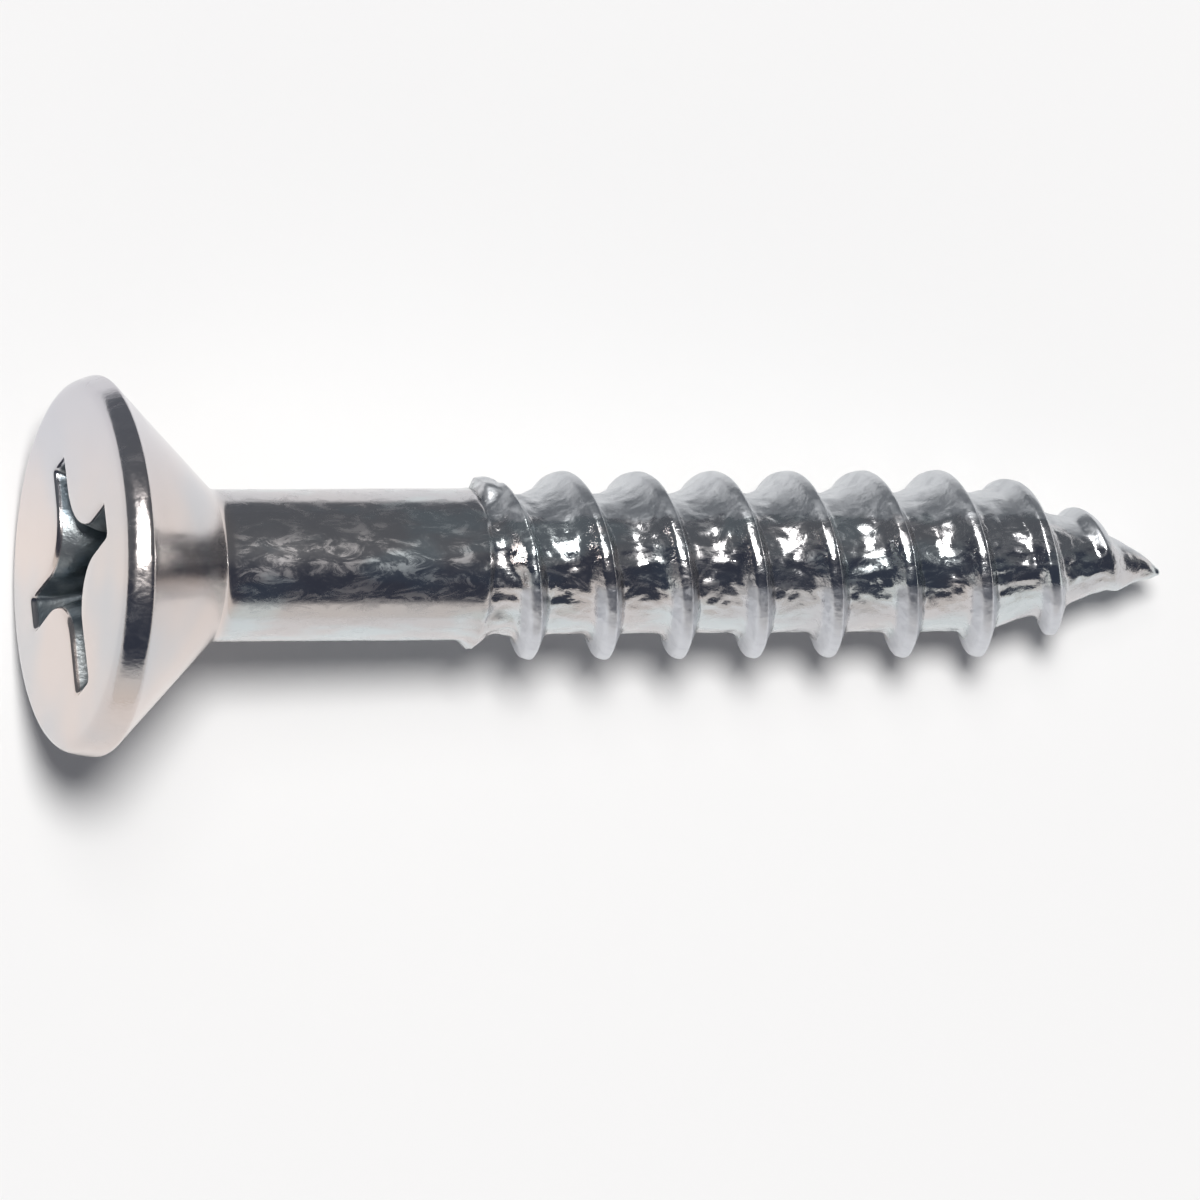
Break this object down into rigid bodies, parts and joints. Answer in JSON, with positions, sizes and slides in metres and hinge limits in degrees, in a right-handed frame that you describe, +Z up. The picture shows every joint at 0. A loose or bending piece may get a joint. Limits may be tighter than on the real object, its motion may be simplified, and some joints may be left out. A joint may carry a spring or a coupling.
{
  "type": "wood screw",
  "caption": "Countersunk wood screw with a cross recess, plain shank, coarse right-hand thread and gimlet point, for fastening timber.",
  "frame": {"origin": "middle of the box's underside: the screw lies on its side on the plane z = 0, touching it with its head's rim and a crest of its thread", "axes": "+X along the lying screw from head to tip, +Z up; the screw's own axis slopes down towards the tip in the XZ plane"},
  "size_m": [0.0378, 0.0122, 0.0122],
  "materials": {
    "zinc_steel": "bright zinc plating"
  },
  "bodies": {
    "root": {"screw": "zinc_steel"}
  },
  "joints": []
}
